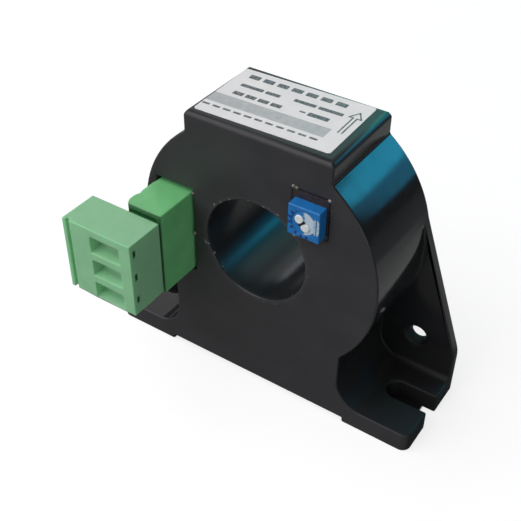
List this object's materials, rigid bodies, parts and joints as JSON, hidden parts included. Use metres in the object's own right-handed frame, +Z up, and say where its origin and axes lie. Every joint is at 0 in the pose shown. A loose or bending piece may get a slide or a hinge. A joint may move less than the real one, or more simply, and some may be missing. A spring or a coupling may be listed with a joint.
{
  "type": "hall effect current sensor",
  "caption": "Upright current sensor: round black body with a cable bore, winged base with slotted feet, calibration trimmer and pull-off screw terminal plug.",
  "frame": {"origin": "on the cable bore's axis, halfway through the body", "axes": "+Y along the bore from the terminal side to the back, +Z up from the base, +X to the right seen from the terminal side"},
  "size_m": [0.067, 0.0366, 0.056],
  "materials": {
    "housing_plastic": "moulded glossy black",
    "cover_plastic": "moulded satin black",
    "label_film": "satin white film with plain bars and an arrow",
    "circuit_board": "green solder mask",
    "core_strip": "wound strip",
    "enamelled_wire": "enamelled copper wire",
    "chip_epoxy": "moulded epoxy",
    "header_plastic": "satin green polyamide",
    "plug_plastic": "pale green polyamide",
    "tinned_metal": "tinned",
    "contact_brass": "stamped brass",
    "screw_steel": "zinc plated",
    "trimmer_case": "moulded blue",
    "trimmer_rotor": "moulded white",
    "capacitor_can": "sleeved aluminium can"
  },
  "bodies": {
    "root": {"housing": "housing_plastic", "rear_cover": "cover_plastic", "label": "label_film", "pcb": "circuit_board", "core": "core_strip", "coil": "enamelled_wire", "hall_element": "chip_epoxy", "header": "header_plastic", "header_pin_1": "tinned_metal", "header_pin_2": "tinned_metal", "header_pin_3": "tinned_metal", "trimmer_body": "trimmer_case", "trimmer_pins": "tinned_metal", "op_amp": "chip_epoxy", "transistor_npn": "chip_epoxy", "transistor_pnp": "chip_epoxy", "capacitor_1": "capacitor_can", "capacitor_2": "capacitor_can", "diode_1": "chip_epoxy", "diode_2": "chip_epoxy", "resistor_1": "chip_epoxy", "resistor_2": "chip_epoxy", "resistor_3": "chip_epoxy", "resistor_4": "chip_epoxy"},
    "rotor": {"trimmer_rotor": "trimmer_rotor"},
    "plug": {"plug_body": "plug_plastic", "plug_contact_1": "contact_brass", "plug_contact_2": "contact_brass", "plug_contact_3": "contact_brass"},
    "screw_1": {"clamp_screw_1": "screw_steel"},
    "cage_1": {"clamp_cage_1": "screw_steel"},
    "screw_2": {"clamp_screw_2": "screw_steel"},
    "cage_2": {"clamp_cage_2": "screw_steel"},
    "screw_3": {"clamp_screw_3": "screw_steel"},
    "cage_3": {"clamp_cage_3": "screw_steel"}
  },
  "joints": [
    {"name": "trimmer_turn", "type": "hinge", "parent": "root", "child": "rotor", "pos_m": [0.01076, -0.0118, 0.01202], "axis": [0, -1, 0], "range_deg": [-120, 120]},
    {"name": "plug_slide", "type": "slide", "parent": "root", "child": "plug", "axis": [0, -1, 0], "range_m": [0, 0.012]},
    {"name": "screw_1_turn", "type": "hinge", "parent": "plug", "child": "screw_1", "pos_m": [-0.02633, -0.0223, 0.00293], "axis": [1, 0, 0], "range_deg": [0, 1800]},
    {"name": "cage_1_slide", "type": "slide", "parent": "plug", "child": "cage_1", "axis": [-1, 0, 0], "range_m": [0, 0.0025]},
    {"name": "screw_2_turn", "type": "hinge", "parent": "plug", "child": "screw_2", "pos_m": [-0.02633, -0.0223, -0.00215], "axis": [1, 0, 0], "range_deg": [0, 1800]},
    {"name": "cage_2_slide", "type": "slide", "parent": "plug", "child": "cage_2", "axis": [-1, 0, 0], "range_m": [0, 0.0025]},
    {"name": "screw_3_turn", "type": "hinge", "parent": "plug", "child": "screw_3", "pos_m": [-0.02633, -0.0223, -0.00723], "axis": [1, 0, 0], "range_deg": [0, 1800]},
    {"name": "cage_3_slide", "type": "slide", "parent": "plug", "child": "cage_3", "axis": [-1, 0, 0], "range_m": [0, 0.0025]}
  ],
  "couplings": [
    {"joint": "screw_1_turn", "follows": "cage_1_slide", "rad_per_m": 12566},
    {"joint": "screw_2_turn", "follows": "cage_2_slide", "rad_per_m": 12566},
    {"joint": "screw_3_turn", "follows": "cage_3_slide", "rad_per_m": 12566}
  ]
}
